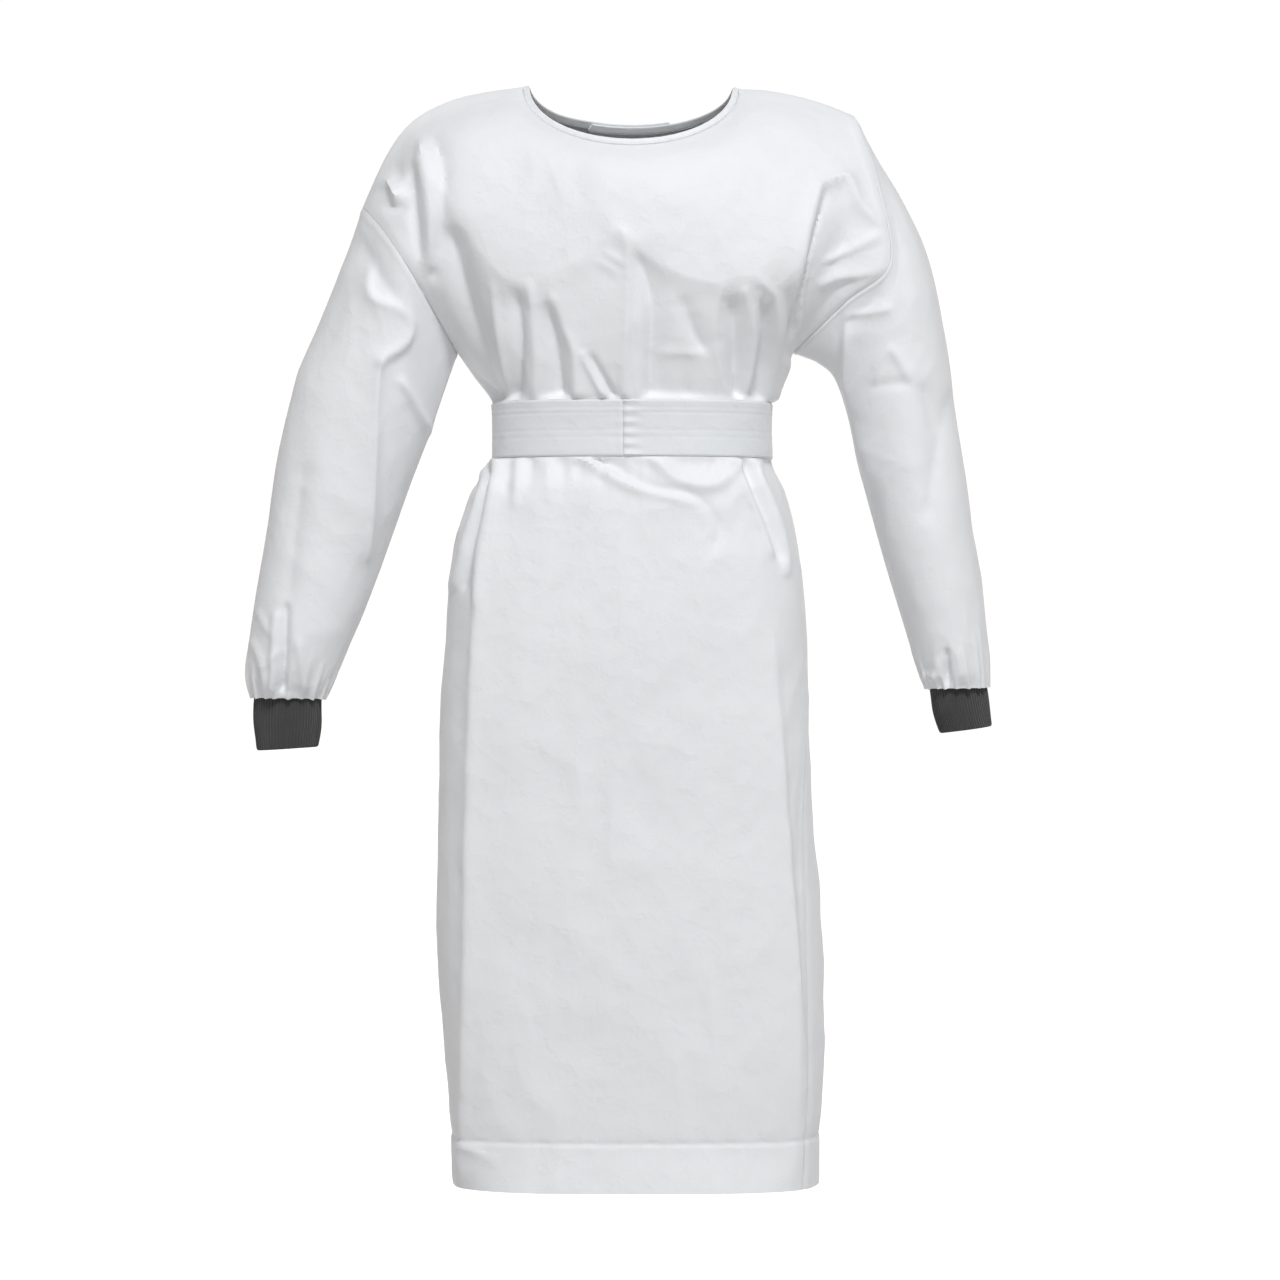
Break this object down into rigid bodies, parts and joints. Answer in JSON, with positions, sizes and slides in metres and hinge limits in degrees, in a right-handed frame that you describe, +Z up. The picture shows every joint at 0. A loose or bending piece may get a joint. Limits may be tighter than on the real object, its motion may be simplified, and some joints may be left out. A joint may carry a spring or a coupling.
{
  "type": "surgical gown",
  "caption": "White long-sleeved surgical gown worn on nobody, with a round neck, dark knitted cuffs and a wide sewn belt tied behind.",
  "frame": {"origin": "middle of the neck opening, level with the two neck points, where the wearer's shoulders hold the gown up", "axes": "+Z up, -Y the way the gown's front faces, +X to the right of someone facing the front"},
  "size_m": [0.8168, 0.2816, 1.2046],
  "materials": {
    "gown_cloth": "crisp laminated cloth with a faint sheen",
    "belt_cloth": "doubled and topstitched cloth",
    "binding_tape": "folded binding tape",
    "cuff_knit": "dark ribbed knit"
  },
  "bodies": {
    "root": {"front": "gown_cloth", "back_left": "gown_cloth", "back_right": "gown_cloth", "sleeve_left": "gown_cloth", "sleeve_right": "gown_cloth", "cuff_left": "cuff_knit", "cuff_right": "cuff_knit", "neck_binding": "binding_tape", "belt_left": "belt_cloth", "belt_right": "belt_cloth", "belt_knot": "belt_cloth", "belt_tail_left": "belt_cloth", "belt_tail_right": "belt_cloth"}
  },
  "joints": []
}
